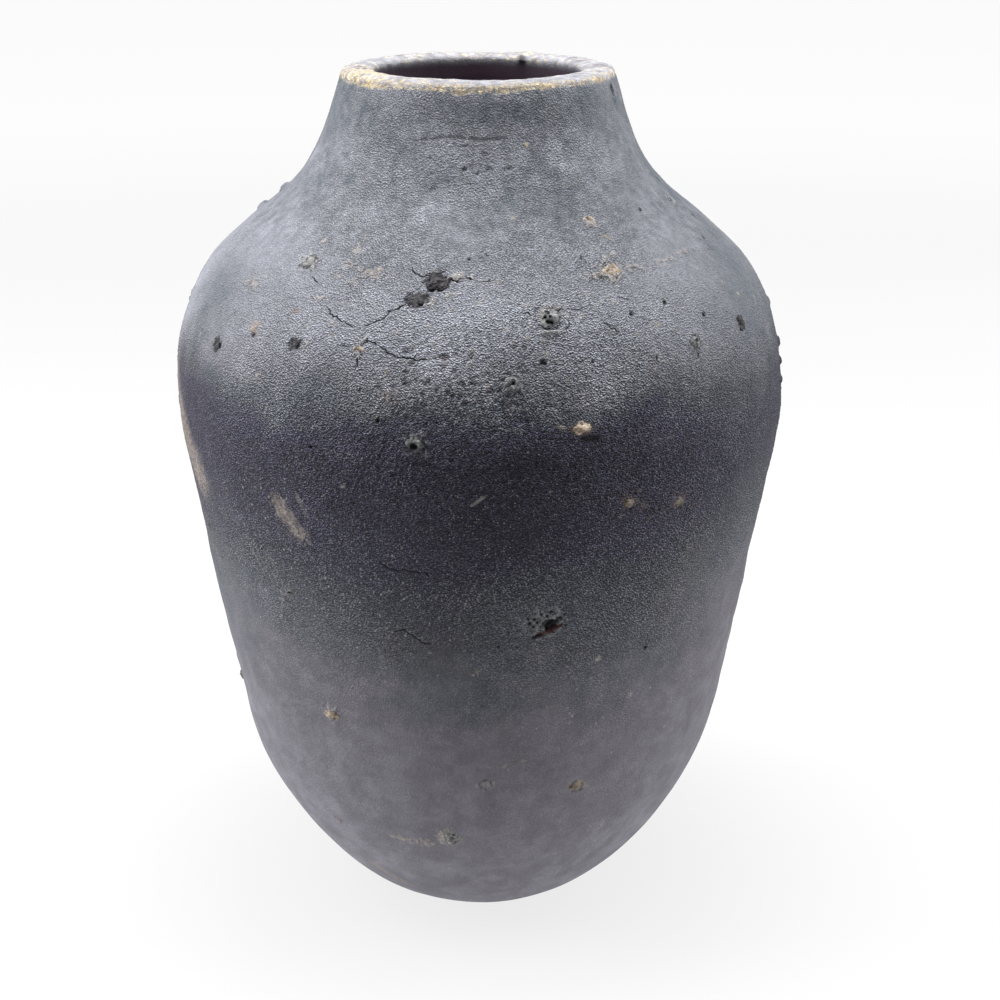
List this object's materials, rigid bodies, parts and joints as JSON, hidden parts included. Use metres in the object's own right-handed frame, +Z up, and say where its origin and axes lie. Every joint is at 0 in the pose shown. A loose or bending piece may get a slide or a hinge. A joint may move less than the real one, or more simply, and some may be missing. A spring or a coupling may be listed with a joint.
{
  "type": "clay pot",
  "caption": "Tall hand-built black clay pot with a small flat foot, a high round shoulder, a short flared neck and a thick domed lip.",
  "frame": {"origin": "centre of the foot's underside", "axes": "+Z up along the pot's axis, out of the mouth; -Y is the front, the side with the largest cracks and cinder pits"},
  "size_m": [0.2338, 0.2343, 0.33],
  "materials": {
    "black_clay": "matt, coarse and sandy, smoke-blackened",
    "worn_lip_clay": "matt, worn through to buff clay on the lip",
    "lime": "chalky",
    "cinder": "rough and porous",
    "buff_grit": "matt, gritty"
  },
  "bodies": {
    "root": {"foot_bowl": "black_clay", "lower_wall_1": "black_clay", "lower_wall_2": "black_clay", "lower_wall_3": "black_clay", "middle_wall_1": "black_clay", "middle_wall_2": "black_clay", "middle_wall_3": "black_clay", "shoulder_1": "black_clay", "shoulder_2": "black_clay", "neck_collar": "black_clay", "rim_coil": "worn_lip_clay", "lime_nodules": "lime", "cinder_lumps": "cinder", "buff_grit": "buff_grit"}
  },
  "joints": []
}
